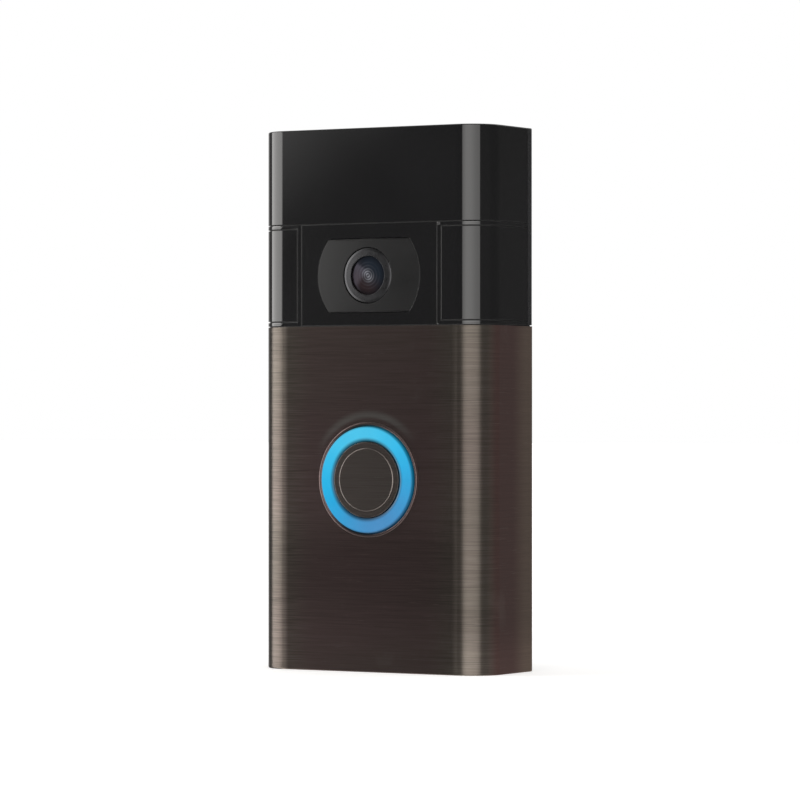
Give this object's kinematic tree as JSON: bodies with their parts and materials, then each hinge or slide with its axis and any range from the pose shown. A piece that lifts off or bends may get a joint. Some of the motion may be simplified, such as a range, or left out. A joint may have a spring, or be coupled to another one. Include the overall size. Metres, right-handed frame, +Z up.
{
  "type": "video doorbell",
  "caption": "Wall-mounted battery video doorbell with a camera window above a lit round push button, on a removable wall bracket.",
  "frame": {"origin": "centre of the bounding box in X and Y, at the flat bottom edge of the case (Z = 0)", "axes": "+Z up along the case's height, +X to the right as seen from the front, +Y out of the back towards the wall; the front face is at -Y"},
  "size_m": [0.062, 0.0286, 0.1265],
  "materials": {
    "bracket_plastic": "fine moulded texture",
    "screw_black": "black zinc",
    "bronze": "brushed, dark bronze anodised",
    "gloss_black": "high gloss",
    "housing_black": "fine moulded texture",
    "satin_black": "satin",
    "lens_metal": "black anodised, turned",
    "coated_glass": "purple-blue coating",
    "filter_glass": "coated",
    "barrel_black": "matt",
    "sensor_dark": "gloss",
    "light_pipe": "lit translucent light pipe",
    "led_white": "lit",
    "led_clear": "clear dome",
    "seal_rubber": "soft matt",
    "frame_plastic": "moulded",
    "screw_steel": "plated",
    "terminal_brass": "plated",
    "board_green": "solder mask",
    "flex_amber": "film",
    "shield_tin": "tinned sheet",
    "pir_white": "translucent",
    "chip_black": "moulded",
    "battery_foil": "foil pouch",
    "tape_black": "foam",
    "lead_red": "insulated wire",
    "connector_white": "moulded",
    "speaker_black": "moulded",
    "button_rubber": "soft matt"
  },
  "bodies": {
    "bracket": {"wall_bracket": "bracket_plastic", "security_screws": "screw_black"},
    "doorbell": {"faceplate": "bronze", "top_cover": "gloss_black", "camera_bezel": "gloss_black", "left_side_panel": "gloss_black", "right_side_panel": "gloss_black", "camera_window": "gloss_black", "rear_housing": "housing_black", "camera_surround": "satin_black", "lens_ring": "lens_metal", "front_lens": "coated_glass", "inner_lens": "coated_glass", "ir_filter": "filter_glass", "lens_barrel": "barrel_black", "lens_holder": "barrel_black", "image_sensor": "sensor_dark", "light_ring": "light_pipe", "ring_leds": "led_white", "ir_leds": "led_clear", "button_seal": "seal_rubber", "housing_seal": "seal_rubber", "speaker_gasket": "seal_rubber", "button_housing": "frame_plastic", "mid_frame": "frame_plastic", "frame_screws": "screw_steel", "board_screws": "screw_steel", "camera_screws": "screw_steel", "terminal_screws": "terminal_brass", "terminal_nuts": "terminal_brass", "main_board": "board_green", "camera_board": "board_green", "ir_led_board": "board_green", "pir_board": "board_green", "ring_led_board": "board_green", "io_board": "board_green", "camera_flex": "flex_amber", "pir_flex": "flex_amber", "wifi_antennas": "flex_amber", "pir_sensors": "shield_tin", "pir_lens": "pir_white", "shield_cans": "shield_tin", "charging_port": "shield_tin", "microphone": "shield_tin", "board_chips": "chip_black", "button_switch": "chip_black", "setup_switch": "chip_black", "battery": "battery_foil", "battery_tape": "tape_black", "battery_lead": "lead_red", "battery_connector": "connector_white", "speaker": "speaker_black"},
    "button": {"button_cap": "bronze", "switch_plunger": "seal_rubber"},
    "setup_button": {"setup_button": "button_rubber"}
  },
  "joints": [
    {"name": "lift_off", "type": "slide", "parent": "bracket", "child": "doorbell", "axis": [0, 0, 1], "range_m": [0, 0.0055]},
    {"name": "button_press", "type": "slide", "parent": "doorbell", "child": "button", "axis": [0, 1, 0], "range_m": [0, 0.0006], "stiffness_N_per_m": 1500},
    {"name": "setup_press", "type": "slide", "parent": "doorbell", "child": "setup_button", "axis": [0, -1, 0], "range_m": [0, 0.0005], "stiffness_N_per_m": 1500}
  ]
}
